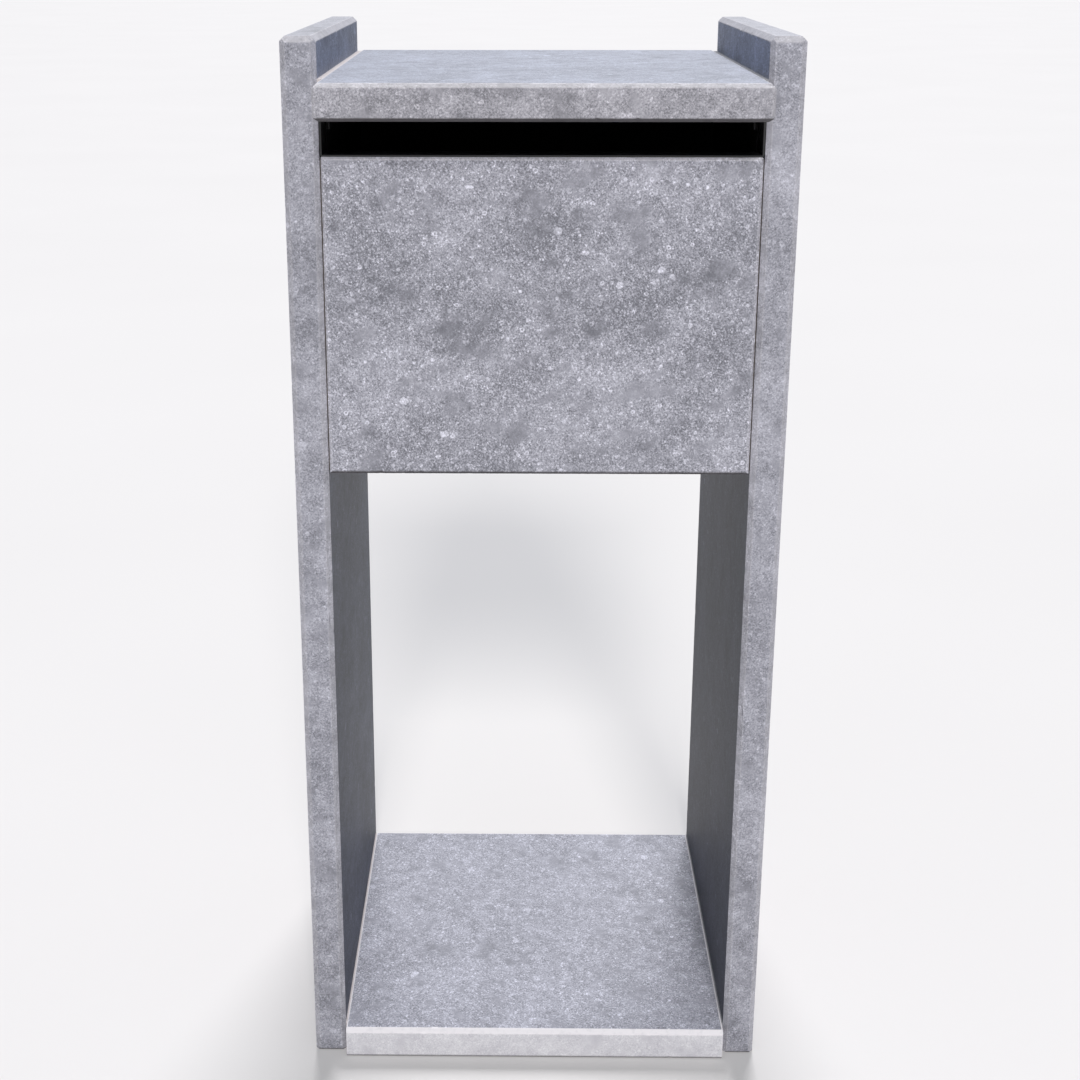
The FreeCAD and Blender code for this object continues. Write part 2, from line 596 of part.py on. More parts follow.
def lock_body():
    """Housing through the door, clamped by its nut."""
    head = rod(LOCK_HEAD_R, lock_axis(DOOR_FACE), Y_AXIS, LOCK_HEAD)
    head = head.makeChamfer(LOCK_HEAD / 3, edges_where(head, lambda b: b.YMin > DOOR_FACE + LOCK_HEAD / 2))
    housing = lock_profile(LOCK_R, LOCK_FLAT, LOCK_END, LOCK_LENGTH)
    bore = rod(ROTOR_R + RUNNING, lock_axis(LOCK_END), Y_AXIS, LOCK_LENGTH + LOCK_HEAD)
    mouth_depth = ROTOR_HEAD + ROTOR_INSET
    mouth = rod(ROTOR_HEAD_R + RUNNING, lock_axis(LOCK_FACE - mouth_depth), Y_AXIS, mouth_depth)
    return head.fuse(housing).cut(bore).cut(mouth)


def lock_nut():
    start = lock_axis(DOOR_FACE - SHEET - LOCK_NUT)
    nut = hexagon(LOCK_NUT_FLATS, start, Y_AXIS, LOCK_NUT)
    return nut.cut(rod(LOCK_R, start, Y_AXIS, LOCK_NUT))


def keyway():
    """Slot for the key, open at the rotor's face."""
    half_x = KEY_SHEET / 2 + KEY_SLACK
    half_z = KEY_BLADE / 2 + KEY_SLACK
    return box((LOCK_X - half_x, LOCK_X + half_x), (ROTOR_FACE - KEY_DEPTH - KEY_SLACK, ROTOR_FACE),
               (LOCK_Z - half_z, LOCK_Z + half_z))


def lock_plug():
    """Rotor with the keyway at its face and a square for the cam at its inner end."""
    barrel = rod(ROTOR_R, lock_axis(LOCK_END), Y_AXIS, ROTOR_FACE - LOCK_END)
    head = rod(ROTOR_HEAD_R, lock_axis(ROTOR_FACE), Y_AXIS, -ROTOR_HEAD)
    half = CAM_SQUARE / 2
    square = box((LOCK_X - half, LOCK_X + half), (LOCK_END - CAM_SHEET, LOCK_END), (LOCK_Z - half, LOCK_Z + half))
    tapped = rod(CAM_SCREW_R, lock_axis(LOCK_END - CAM_SHEET), Y_AXIS, CAM_SCREW_LENGTH)
    return barrel.fuse(head).fuse(square).cut(keyway()).cut(tapped)


def lock_cam():
    """Flat cam hanging straight down when the lock is open."""
    start = LOCK_END - CAM_SHEET
    radius = CAM_WIDTH / 2
    arm_z = (LOCK_Z - CAM_REACH + radius, LOCK_Z)
    arm = box((LOCK_X - radius, LOCK_X + radius), (start, LOCK_END), arm_z)
    hub = rod(radius, lock_axis(start), Y_AXIS, CAM_SHEET)
    tip = rod(radius, point(LOCK_X, start, min(arm_z)), Y_AXIS, CAM_SHEET)
    half = CAM_SQUARE / 2
    square = box((LOCK_X - half, LOCK_X + half), (start, LOCK_END), (LOCK_Z - half, LOCK_Z + half))
    return arm.fuse(hub).fuse(tip).removeSplitter().cut(square)


def cam_screw():
    start = LOCK_END - CAM_SHEET
    head = rod(CAM_SCREW_HEAD_R, lock_axis(start), Y_AXIS, -CAM_SCREW_HEAD)
    shank = rod(CAM_SCREW_R, lock_axis(start), Y_AXIS, CAM_SCREW_LENGTH)
    cross = CAM_SCREW_HEAD_R / 4
    recess = box((LOCK_X - 3 * cross, LOCK_X + 3 * cross), (start - CAM_SCREW_HEAD, start - CAM_SCREW_HEAD / 2),
                 (LOCK_Z - cross / 2, LOCK_Z + cross / 2))
    turned = recess.copy()
    turned.rotate(lock_axis(start), Y_AXIS, 90)
    return head.cut(recess).cut(turned).fuse(shank)


def key():
    """Flat key with its blade in the rotor and a round bow outside."""
    half_x = KEY_SHEET / 2
    half_z = KEY_BLADE / 2
    x_range = (LOCK_X - half_x, LOCK_X + half_x)
    blade_end = ROTOR_FACE - KEY_DEPTH
    neck_end = LOCK_FACE + KEY_NECK
    blade = box(x_range, (blade_end, neck_end), (LOCK_Z - half_z, LOCK_Z + half_z))
    for distance, depth in zip(KEY_NOTCHES, KEY_NOTCH_DEPTHS):
        y = blade_end + distance
        top = LOCK_Z + half_z
        corners = [point(LOCK_X - half_x, y - depth, top), point(LOCK_X - half_x, y, top - depth),
                   point(LOCK_X - half_x, y + depth, top)]
        blade = blade.cut(plate(corners, X_AXIS, KEY_SHEET))
    centre = point(LOCK_X - half_x, neck_end + KEY_BOW_R - KEY_SHEET, LOCK_Z)
    bow = rod(KEY_BOW_R, centre, X_AXIS, KEY_SHEET)
    ring_hole = rod(KEY_RING_R, centre + Y_AXIS * (KEY_BOW_R / 2), X_AXIS, KEY_SHEET)
    return blade.fuse(bow).removeSplitter().cut(ring_hole)


def lock():
    save("lock_body", [lock_body()])
    save("lock_nut", [lock_nut()])
    save("lock_plug", [lock_plug()])
    save("lock_cam", [lock_cam()])
    save("cam_screw", [cam_screw()])
    save("key", [key()])


os.makedirs("parts", exist_ok=True)
stone()
compartment()
supports()
door()
lock()
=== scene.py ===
import json
import math

import bpy
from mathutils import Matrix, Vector, noise


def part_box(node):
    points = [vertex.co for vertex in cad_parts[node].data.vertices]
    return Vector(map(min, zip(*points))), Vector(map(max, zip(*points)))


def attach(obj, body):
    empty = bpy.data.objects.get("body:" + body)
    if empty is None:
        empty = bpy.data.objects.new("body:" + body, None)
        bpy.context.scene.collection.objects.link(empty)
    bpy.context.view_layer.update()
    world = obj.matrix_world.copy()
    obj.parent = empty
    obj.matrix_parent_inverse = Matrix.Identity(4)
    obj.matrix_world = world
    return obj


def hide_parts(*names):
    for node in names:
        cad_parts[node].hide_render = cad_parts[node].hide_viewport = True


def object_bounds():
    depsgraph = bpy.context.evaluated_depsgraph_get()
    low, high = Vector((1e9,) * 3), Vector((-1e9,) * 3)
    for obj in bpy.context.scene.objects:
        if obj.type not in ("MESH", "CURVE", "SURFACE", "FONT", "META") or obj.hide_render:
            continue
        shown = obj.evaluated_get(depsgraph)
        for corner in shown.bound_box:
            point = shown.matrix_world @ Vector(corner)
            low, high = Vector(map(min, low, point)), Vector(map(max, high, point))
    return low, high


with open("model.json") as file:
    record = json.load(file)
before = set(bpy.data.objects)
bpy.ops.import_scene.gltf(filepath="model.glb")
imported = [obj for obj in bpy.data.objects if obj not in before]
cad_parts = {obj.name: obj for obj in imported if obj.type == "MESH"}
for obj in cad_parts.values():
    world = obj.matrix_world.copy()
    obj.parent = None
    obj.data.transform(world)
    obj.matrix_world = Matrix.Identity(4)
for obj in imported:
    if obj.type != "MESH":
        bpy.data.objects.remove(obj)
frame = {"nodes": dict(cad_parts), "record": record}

CAD_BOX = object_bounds()
MM = 0.001

# ---- camera and light --------------------------------------------------------------------------------------
CAMERA_PLACE = (-0.0219, -1.685, 1.0351)
CAMERA_TILT = math.radians(18.73)          # below the horizon
CAMERA_TURN = math.radians(0.72)           # to the left
CAMERA_LENS = 58.78
CAMERA_SENSOR = 36.0
CAMERA_SHIFT = 0.0436
FAR_END = 200.0                            # how far the camera sees
KEY = {"elevation": 31.0, "azimuth": 3.0, "strength": 2.2, "spread": 14.0, "colour": (1.0, 0.985, 0.96)}
BACK = {"elevation": 46.0, "azimuth": 176.0, "strength": 2.9, "spread": 24.0, "colour": (0.98, 0.98, 1.0)}
SKY = (0.78, 0.87, 1.0, 1.0)
SKY_STRENGTH = 0.28
FLOOR_HALF = 60.0
FLOOR_DROP = 0.1 * MM                      # floor just below the stone

# ---- stone slabs -------------------------------------------------------------------------------------------
ARRIS = 4.0 * MM                           # chamfer along the exposed edges
TOP_ARRIS = 4.3 * MM                       # larger one round the side slabs' tops
BASE_ARRIS = 3.5 * MM                      # along the base slab's front
END_ARRIS = 2.0 * MM                       # up the ends of the top slab's face
BROW_ARRIS = (4.0 * MM, 2.8 * MM)          # top slab's upper front edge: along the top, and down the face
DRIP_ARRIS = (6.5 * MM, 2.8 * MM)          # its lower front edge: along the underside, and up the face
PANEL_ARRIS = 1.8 * MM
SAWN_EDGE = 0.7 * MM                       # edge left as it was sawn
GRID_STEP = 2.0 * MM                       # mesh spacing along an edge
COARSE_CELLS = 6                           # grid steps in one cell away from the edges
PAST_ARRIS = (0.7 * MM, 1.6 * MM, 3.0 * MM)
CRUMBLE_DEPTH = 0.22 * MM                  # fine crumbling along every arris
CRUMBLE_SIZE = 1.9 * MM
CHIP_DEPTH = 4.2 * MM                      # scale of the larger bites
CHIP_SIZE = 6.5 * MM
CHIP_CLUSTER = 55.0 * MM                   # size of the stretches where bites come together
CHIP_REACH = 3.0 * MM                      # how far from an arris a chip can bite
SAWN_CHIPPING = 0.3                        # chips on an edge left sawn, where a chamfered one has 1
WEAR_REACH = 0.9 * MM                      # how far past an arris its wear, and the painted shade of an arris underneath, fades out
UPRIGHT_WEAR = 0.35                        # wear of an upright arris, where one on top has 1
SHARP_ANGLE = math.radians(24.0)


# ---- node graphs -------------------------------------------------------------------------------------------
class Graph:
    """A material's node tree, with short calls for the nodes that are used here. Sizes are in millimetres."""

    def __init__(self, name):
        self.material = bpy.data.materials.new(name)
        self.material.use_nodes = True
        self.tree = self.material.node_tree
        self.tree.nodes.clear()

    def feed(self, socket, value):
        if isinstance(value, bpy.types.NodeSocket):
            self.tree.links.new(value, socket)
        else:
            socket.default_value = value

    def node(self, kind, inputs=None, **settings):
        made = self.tree.nodes.new("ShaderNode" + kind)
        for name, value in settings.items():
            setattr(made, name, value)
        for key, value in (inputs or {}).items():
            self.feed(made.inputs[key], value)
        return made

    def place(self, offset=(0, 0, 0), turn=(0, 0, 0), stretch=(1, 1, 1)):
        """The surface's own coordinates, in millimetres."""
        own = self.node("TexCoord").outputs["Object"]
        scale = tuple(s / MM for s in stretch)
        made = self.node("Mapping", {"Vector": own, "Location": offset, "Rotation": turn, "Scale": scale})
        return made.outputs[0]

    def math(self, operation, a, b=0.0, clamp=False):
        return self.node("Math", {0: a, 1: b}, operation=operation, use_clamp=clamp).outputs[0]

    def product(self, first, *others):
        for other in others:
            first = self.math("MULTIPLY", first, other)
        return first

    def total(self, first, *others):
        for other in others:
            first = self.math("ADD", first, other)
        return first

    def noise(self, place, size, detail=2.0, roughness=0.5, output="Fac"):
        made = self.node("TexNoise", {"Vector": place, "Scale": 1.0 / size, "Detail": detail,
                                      "Roughness": roughness})
        return made.outputs[output]

    def wave(self, place, size, amount, detail=2.0, roughness=0.5):
        """Noise about zero, of the given amplitude."""
        level = self.math("SUBTRACT", self.noise(place, size, detail, roughness), 0.5)
        return self.math("MULTIPLY", level, 2.0 * amount)

    def cells(self, place, size, randomness=1.0):
        return self.node("TexVoronoi", {"Vector": place, "Scale": 1.0 / size, "Randomness": randomness})

    def step(self, value, start, end):
        """A smooth step from 0 at start to 1 at end."""
        made = self.node("MapRange", {"Value": value, "From Min": start, "From Max": end},
                         interpolation_type="SMOOTHSTEP")
        return made.outputs["Result"]

    def bent(self, place, size, amount):
        """Coordinates pushed about by noise, which makes round shapes irregular."""
        push = self.noise(place, size, 1.0, output="Color")
        centred = self.node("VectorMath", {0: push, 1: (0.5, 0.5, 0.5)}, operation="SUBTRACT").outputs[0]
        scaled = self.node("VectorMath", {0: centred, "Scale": 2.0 * amount}, operation="SCALE").outputs[0]
        return self.node("VectorMath", {0: place, 1: scaled}, operation="ADD").outputs[0]

    def lot(self, cells, channel):
        """A random level for each cell, the same all over the cell. Each colour channel draws its own."""
        return self.node("SeparateColor", {"Color": cells.outputs["Color"]}).outputs[channel]

    def chosen(self, cells, share):
        """1 in that share of the cells, and 0 in the others."""
        return self.math("LESS_THAN", self.lot(cells, "Red"), share)

    def mix(self, factor, first, second):
        made = self.node("Mix", data_type="RGBA")
        self.feed(made.inputs["Factor"], factor)
        self.feed(made.inputs[6], first)
        self.feed(made.inputs[7], second)
        return made.outputs[2]

    def bump(self, height, depth):
        """A normal from a height of 0 to 1 that stands for a depth in millimetres."""
        return self.node("Bump", {"Height": height, "Distance": depth * MM, "Strength": 1.0}).outputs[0]

    def finish(self, inputs):
        shader = self.node("BsdfPrincipled", inputs)
        output = self.node("OutputMaterial")
        self.tree.links.new(shader.outputs[0], output.inputs[0])
        return self.material


def shade(colour, factor=1.0):
    """A colour times a factor, with an alpha of 1."""
    return tuple(min(1.0, c * factor) for c in colour) + (1.0,)


# ---- stone -------------------------------------------------------------------------------------------------
BLUESTONE = (0.333, 0.337, 0.391)
DARKEST = 0.45                             # tone of the darkest ground, times the stone's own colour
PALEST = 2.4                               # and of the palest fragment
PALE_CAST = (1.02, 1.0, 0.97)              # pale fragments are a little warmer than the ground
GROUND_LEVEL = 0.23                        # plain ground, from 0 for the darkest to 1 for the palest
WORN_STONE = (0.82, 0.79, 0.82)
# colour of the painted shade on the arrises underneath
UNDERSIDE_SHADE_COLOUR = (0.050, 0.045, 0.046)
UNDERSIDE_SHADE = 0.9                                 # how strongly painted shade darkens the arrises underneath
PAINTED_SHADE_HEIGHTS = (925.0, 895.0)              # heights between which painted shade below the top slab fades in, from none above to full below
# Sizes of what the stone is made of, in millimetres.
CLOUD = 60.0
MUD = 24.0
MOTTLE = 12.0
GRAIN = 1.6
GRIT = 2.1
SHARD = 5.4
WORM = 4.6
RING_SPACING = 14.0
FOSSIL_SPACING = 40.0
BEDDING = (1.4, 0.5, 1.0)                  # clouds and mud are drawn out along the second axis
FOSSIL_STRETCH = (1.0, 0.75, 1.3)


def fragments(g, place, stretched, flecks, fossils):
    """Level of the stone's pale bits: grit, shell shards, worm lines, crinoid rings and larger fossils."""
    bent = g.bent(place, 2.6, 1.2)
    grit_cells = g.cells(bent, GRIT)
    grit = g.product(g.step(grit_cells.outputs["Distance"], 0.46, 0.22),
                     g.step(g.lot(grit_cells, "Green"), 0.35, 1.0))

    shard_cells = g.cells(bent, SHARD)
    shard = g.product(g.step(shard_cells.outputs["Distance"], 0.33, 0.25),
                      g.step(g.lot(shard_cells, "Blue"), 0.45, 1.0))

    line = g.math("ABSOLUTE", g.math("SUBTRACT", g.noise(bent, WORM, 1.0), 0.5))
    worm = g.product(g.step(line, 0.030, 0.006), g.step(g.noise(place, 6.5, 1.0), 0.47, 0.57))

    ring_cells = g.cells(g.bent(place, 3.0, 0.6), RING_SPACING)
    from_centre = ring_cells.outputs["Distance"]
    ring = g.product(g.step(from_centre, 0.16, 0.135), g.step(from_centre, 0.05, 0.095),
                     g.chosen(ring_cells, 0.5))

    fossil_cells = g.cells(g.bent(stretched, 6.0, 2.4), FOSSIL_SPACING)
    fossil = g.product(g.step(fossil_cells.outputs["Distance"], 0.105, 0.085), g.chosen(fossil_cells, 0.6))

    return g.total(g.product(grit, 0.47 * flecks), g.product(shard, 0.30 * flecks),
                   g.product(worm, 0.36 * flecks), g.product(ring, 0.40 * fossils),
                   g.product(fossil, 0.40 * fossils))


def bluestone(name, offset, turn, tone=1.0, tint=(1.0, 1.0, 1.0), flecks=1.0, fossils=1.0, clouds=0.26,
              worn=0.22, painted_shade_tone=1.0):
    """Honed blue-grey limestone. tone and tint multiply its colour, and flecks, fossils and clouds say how
    strongly each shows. worn is how pale its arrises are. The last argument darkens the stone below the top
    slab, painted shade that stands in for the shadow there; at 1 there is none."""
    g = Graph(name)
    place = g.place(offset, turn)
    drawn = g.node("Mapping", {"Vector": place, "Scale": BEDDING}).outputs[0]
    pale_bits = fragments(g, place, g.place(offset, turn, FOSSIL_STRETCH), flecks, fossils)

    cloud = g.wave(drawn, CLOUD, clouds, 3.0)
    mottle = g.wave(place, MOTTLE, 0.23, 3.0, 0.6)
    grain = g.wave(place, GRAIN, 0.30 + 0.42 * flecks, 2.0, 0.8)
    mud = g.step(g.noise(drawn, MUD, 3.0, 0.6), 0.51, 0.68)
    clear = g.math("SUBTRACT", 1.0, g.product(mud, 0.78))
    level = g.total(g.product(pale_bits, clear), g.product(grain, clear), mottle, cloud,
                    g.product(mud, -0.05))
    level = g.math("ADD", level, GROUND_LEVEL, clamp=True)

    own = [c * t * tone for c, t in zip(BLUESTONE, tint)]
    pale = [c * w for c, w in zip(own, PALE_CAST)]
    stone = g.mix(level, shade(own, DARKEST), shade(pale, PALEST))
    # Painted shade: below the top slab the stone's colour is darkened, standing in for the shadow in the bay.
    if painted_shade_tone < 1.0:
        painted_shade_stone = g.mix(level, shade(own, DARKEST * painted_shade_tone), shade(pale, PALEST * painted_shade_tone))
        height = g.node("SeparateXYZ", {"Vector": g.place()}).outputs["Z"]
        stone = g.mix(g.step(height, *PAINTED_SHADE_HEIGHTS), stone, painted_shade_stone)
    # The arris attribute read here is above 0 where an arris is worn pale and below 0 where painted shade
    # darkens an arris underneath.
    edge = g.node("Attribute", attribute_name="wear_and_shade").outputs["Fac"]
    wear_and_shade = g.math("MULTIPLY", edge, g.total(worn, g.wave(place, 5.0, 0.6 * worn, 2.0)), clamp=True)
    # Painted shade: the arrises underneath are darkened towards a near-black colour.
    underside_shade = g.product(g.math("MULTIPLY", edge, -1.0, clamp=True), UNDERSIDE_SHADE)
    stone = g.mix(wear_and_shade, stone, shade(WORN_STONE))
    stone = g.mix(underside_shade, stone, shade(UNDERSIDE_SHADE_COLOUR))

    relief = g.total(g.noise(place, 0.9, 2.0, 0.7), g.product(g.noise(place, 5.0, 1.0), 0.6))
    roughness = g.total(0.56, g.product(pale_bits, -0.06))
    return g.finish({"Base Color": stone, "Roughness": roughness, "Specular IOR Level": 0.35,
                     "Normal": g.bump(relief, 0.10)})


# ---- slabs -------------------------------------------------------------------------------------------------
SIGNS = {"-": -1, "+": 1}


def edge_sides(name):
    """An edge such as "-y+z" as two (axis, sign) sides."""
    return [("xyz".index(name[k + 1]), SIGNS[name[k]]) for k in (0, 2)]


ALL_EDGES = [a + b for first, second in ("xy", "xz", "yz") for a in ("-" + first, "+" + first)
             for b in ("-" + second, "+" + second)]


def end_offsets(sizes):
    """Distances of the grid lines from one end of a slab: through its arrises and just past them."""
    within = [size * k / 3 for size in sizes for k in (1, 2, 3)]
    return sorted({0.0, *within, *(max(sizes) + gap for gap in PAST_ARRIS)})


def grid_lines(low, high, low_offsets, high_offsets):
    """Positions of the grid lines along one axis, and the first and last line between the ends."""
    near = [low + gap for gap in low_offsets]
    far = [high - gap for gap in reversed(high_offsets)]
    steps = COARSE_CELLS * max(1, round((far[0] - near[-1]) / GRID_STEP / COARSE_CELLS))
    middle = [near[-1] + (far[0] - near[-1]) * k / steps for k in range(1, steps)]
    return near + middle + far, len(near) - 1, len(near) - 1 + steps


def chip_depth(point):
    """How much of an arris is lost at a point: fine crumbling, and bites in clusters."""
    crumble = CRUMBLE_DEPTH * abs(noise.noise(point / CRUMBLE_SIZE))
    bite = max(0.0, noise.noise(point / CHIP_SIZE) - 0.22)
    cluster = max(0.0, noise.noise(point / CHIP_CLUSTER) + 0.15)
    return crumble + CHIP_DEPTH * bite * cluster


def arris_wear_and_shade(sides):
    """How much paler an arris has worn: most on top and a little upright. One underneath gets -1, painted
    shade that darkens it.
    """
    if (2, 1) in sides:
        return 1.0
    return -1.0 if (2, -1) in sides else UPRIGHT_WEAR


def worn_point(point, low, high, arrises):
    """A point of the sawn block moved onto its arrises and into their chips, and the stone's wear there,
    which is below 0 where painted shade darkens an arris underneath.
    """
    wear_and_shade = 0.0
    for sides, legs in arrises:
        (a, sign_a), (b, sign_b) = sides
        corner_a = high[a] if sign_a > 0 else low[a]
        corner_b = high[b] if sign_b > 0 else low[b]
        width = math.hypot(*legs)
        normal_a, normal_b = legs[1] / width, legs[0] / width
        beyond = (normal_a * sign_a * (point[a] - corner_a) + normal_b * sign_b * (point[b] - corner_b)
                  + legs[0] * legs[1] / width)
        if beyond < -CHIP_REACH:
            continue
        chip = chip_depth(point) * (1.0 if min(legs) > SAWN_EDGE else SAWN_CHIPPING)
        depth = min(1.0, max(0.0, 1.0 + (beyond + 0.5 * chip) / WEAR_REACH))
        wear_and_shade = max(wear_and_shade, depth * arris_wear_and_shade(sides), key=abs)
        cut = max(0.0, beyond + chip)
        point[a] -= sign_a * normal_a * cut
        point[b] -= sign_b * normal_b * cut
    return point, wear_and_shade


def face_cells(first, second):
    """The cells of one face as lists of grid corners: fine along its border and coarse inside."""
    lines_a, start_a, end_a = first
    lines_b, start_b, end_b = second
    thin = min(end_a - start_a, end_b - start_b) <= COARSE_CELLS * 2
    for i in range(len(lines_a) - 1):
        for j in range(len(lines_b) - 1):
            inside = start_a <= i < end_a and start_b <= j < end_b
            if thin or not inside:
                yield [(i, j), (i + 1, j), (i + 1, j + 1), (i, j + 1)]
    if thin:
        return
    for i in range(start_a, end_a, COARSE_CELLS):
        for j in range(start_b, end_b, COARSE_CELLS):
            right, top = i + COARSE_CELLS, j + COARSE_CELLS
            below = range(i, right) if j == start_b else [i]
            beside = range(j, top) if right == end_a else [j]
            above = range(right, i, -1) if top == end_b else [right]
            back = range(top, j, -1) if i == start_a else [top]
            yield ([(k, j) for k in below] + [(right, k) for k in beside] + [(k, top) for k in above]
                   + [(i, k) for k in back])


def slab(name, node, body, sizes, materials, bay_side=None):
    """A slab in place of a CAD node. sizes gives the arris of each exposed edge, and the rest stay sawn. The
    first material is for the two broad faces, and the second for the narrow ones and the arrises. A third one
    is for one broad face, which bay_side gives: 0 for the low end of the thickness and 1 for the high end."""
    low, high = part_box(node)
    arrises = [(edge_sides(edge), sizes.get(edge, (SAWN_EDGE, SAWN_EDGE))) for edge in ALL_EDGES]
    lines = []
    for axis in range(3):
        ends = [{leg for sides, legs in arrises for side, leg in zip(sides, legs) if side == (axis, sign)}
                for sign in (-1, 1)]
        lines.append(grid_lines(low[axis], high[axis], end_offsets(ends[0]), end_offsets(ends[1])))
    thin_axis = min(range(3), key=lambda axis: high[axis] - low[axis])
    points, wears_and_shades, index, faces, slots = [], [], {}, [], []

    def corner(key):
        if key not in index:
            index[key] = len(points)
            point, wear_and_shade = worn_point(Vector(lines[k][0][key[k]] for k in range(3)), low, high, arrises)
            points.append(point)
            wears_and_shades.append(wear_and_shade)
        return index[key]

    for axis in range(3):
        a, b = (axis + 1) % 3, (axis + 2) % 3
        for end, last in enumerate((0, len(lines[axis][0]) - 1)):
            slot = 1 if axis != thin_axis else 2 if end == bay_side else 0
            for cell in face_cells(lines[a], lines[b]):
                keys = [[0, 0, 0] for _ in cell]
                for key, (i, j) in zip(keys, cell):
                    key[axis], key[a], key[b] = last, i, j
                loop = [corner(tuple(key)) for key in (keys if last else reversed(keys))]
                faces.append(loop)
                slots.append(1 if all(wears_and_shades[k] for k in loop) else slot)
    mesh = bpy.data.meshes.new(name)
    mesh.from_pydata(points, [], faces)
    mesh.attributes.new("wear_and_shade", "FLOAT", "POINT").data.foreach_set("value", wears_and_shades)
    mesh.polygons.foreach_set("material_index", slots)
    mesh.polygons.foreach_set("use_smooth", [True] * len(faces))
    mesh.set_sharp_from_angle(angle=SHARP_ANGLE)
    for material in materials:
        mesh.materials.append(material)
    made = bpy.data.objects.new(name, mesh)
    bpy.context.scene.collection.objects.link(made)
    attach(made, body)
    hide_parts(node)


def edges_with(size, *names):
    return {name: (size, size) for name in names}


def stonework():
    """The five slabs. Each one has its own cut, an offset and a turn, through the stone's pattern."""
    uprights = edges_with(ARRIS, "-x-y", "+x-y", "-x+y", "+x+y")
    crown = edges_with(TOP_ARRIS, "-x+z", "+x+z", "-y+z", "+y+z")
    # Painted shade: the bay faces get a darker, bluer copy of the stone, darkened further below the top slab
    # and deepest on the right, standing in for the shadow inside the bay.
    painted_bay_shade_tint = (0.90, 1.0, 1.18)
    cut = ((310, 40, 900), (0.4, 1.1, 0.2))
    left = (bluestone("bluestone_left", *cut),
            bluestone("bluestone_left_edge", *cut, 0.97, flecks=0.5, fossils=0.5, worn=0.42),
            bluestone("bluestone_left_bay_shaded", *cut, 0.82, painted_bay_shade_tint, flecks=0.8, painted_shade_tone=0.36))
    cut = ((-500, 700, 100), (1.9, 0.3, 0.7))
    right = (bluestone("bluestone_right", *cut),
             bluestone("bluestone_right_edge", *cut, 0.97, flecks=0.5, fossils=0.5, worn=0.42),
             bluestone("bluestone_right_bay_shaded", *cut, 0.90, painted_bay_shade_tint, flecks=0.8, painted_shade_tone=0.18))
    slab("left_side_stone", "left_side_slab", "cabinet", uprights | crown, left, 1)
    slab("right_side_stone", "right_side_slab", "cabinet", uprights | crown, right, 0)

    cut = ((90, -800, 400), (0.8, 2.2, 0.1))
    # Painted reflection: the blue tint given to the top slab's broad faces stands in for reflected sky.
    top = (bluestone("bluestone_top", *cut, 0.76, (0.94, 1.01, 1.13), flecks=0.6, clouds=0.2),
           bluestone("bluestone_top_edge", *cut, 0.98, (1.02, 1.0, 0.97), flecks=0.55, fossils=0.6,
                     worn=0.36))
    edges = edges_with(ARRIS, *ALL_EDGES) | edges_with(END_ARRIS, "-x-y", "+x-y")
    slab("top_stone", "top_slab", "cabinet", edges | {"-y+z": BROW_ARRIS, "-y-z": DRIP_ARRIS}, top)

    cut = ((700, 250, -300), (0.2, 0.5, 1.4))
    panel = (bluestone("bluestone_panel", *cut, 0.93, clouds=0.34),
             bluestone("bluestone_panel_edge", *cut, 1.05, worn=0.4))
    edges = edges_with(PANEL_ARRIS, "-x-y", "+x-y", "-y-z", "-y+z")
    slab("front_panel_stone", "front_panel", "cabinet", edges, panel)

    cut = ((-260, -90, 600), (1.2, 0.9, 0.4))
    base = (bluestone("bluestone_base", *cut, 0.90, (0.98, 0.99, 1.03), flecks=1.0, fossils=0.7, clouds=0.12),
            bluestone("bluestone_base_edge", *cut, 2.9, (1.03, 0.99, 0.94), flecks=0.3, fossils=0.2,
                      clouds=0.12, worn=1.0))
    edges = edges_with(BASE_ARRIS, "-y+z") | edges_with(ARRIS, "+y+z")
    slab("base_stone", "base_slab", "cabinet", edges, base)


# ---- other materials ---------------------------------------------------------------------------------------
def mortar():
    """Sandy mortar, pale in the left-hand joints and greyed in the right-hand ones."""
    g = Graph("mortar")
    place = g.place()
    sand = g.noise(place, 0.9, 2.0, 0.7)
    pale = g.mix(sand, shade((0.42, 0.38, 0.38)), shade((0.80, 0.75, 0.75)))
    greyed = g.mix(sand, shade((0.14, 0.14, 0.15)), shade((0.44, 0.45, 0.48)))
    across = g.node("SeparateXYZ", {"Vector": place}).outputs["X"]
    colour = g.mix(g.step(across, -20.0, 20.0), pale, greyed)
    height = g.total(g.product(sand, 0.6), g.product(g.noise(place, 4.0), 0.4))
    return g.finish({"Base Color": colour, "Roughness": 0.9, "Specular IOR Level": 0.2,
                     "Normal": g.bump(height, 0.4)})


def adhesive():
    g = Graph("dark_adhesive")
    place = g.place()
    lumps = g.noise(place, 3.0, 3.0, 0.6)
    colour = g.mix(lumps, shade((0.045, 0.036, 0.030)), shade((0.13, 0.105, 0.09)))
    return g.finish({"Base Color": colour, "Roughness": 0.7, "Normal": g.bump(lumps, 0.3)})


def powder_coat():
    """Fine-textured black powder coat with a little dust."""
    g = Graph("powder_coat")
    place = g.place()
    texture = g.cells(g.bent(place, 1.0, 0.3), 0.7).outputs["Distance"]
    dust = g.step(g.noise(place, 45.0, 4.0, 0.65), 0.42, 0.75)
    colour = g.mix(g.product(dust, 0.3), shade((0.011, 0.011, 0.012)), shade((0.040, 0.038, 0.036)))
    roughness = g.total(0.42, g.product(dust, 0.18), g.wave(place, 2.0, 0.05))
    return g.finish({"Base Color": colour, "Roughness": roughness, "Specular IOR Level": 0.5,
                     "Normal": g.bump(texture, 0.06)})


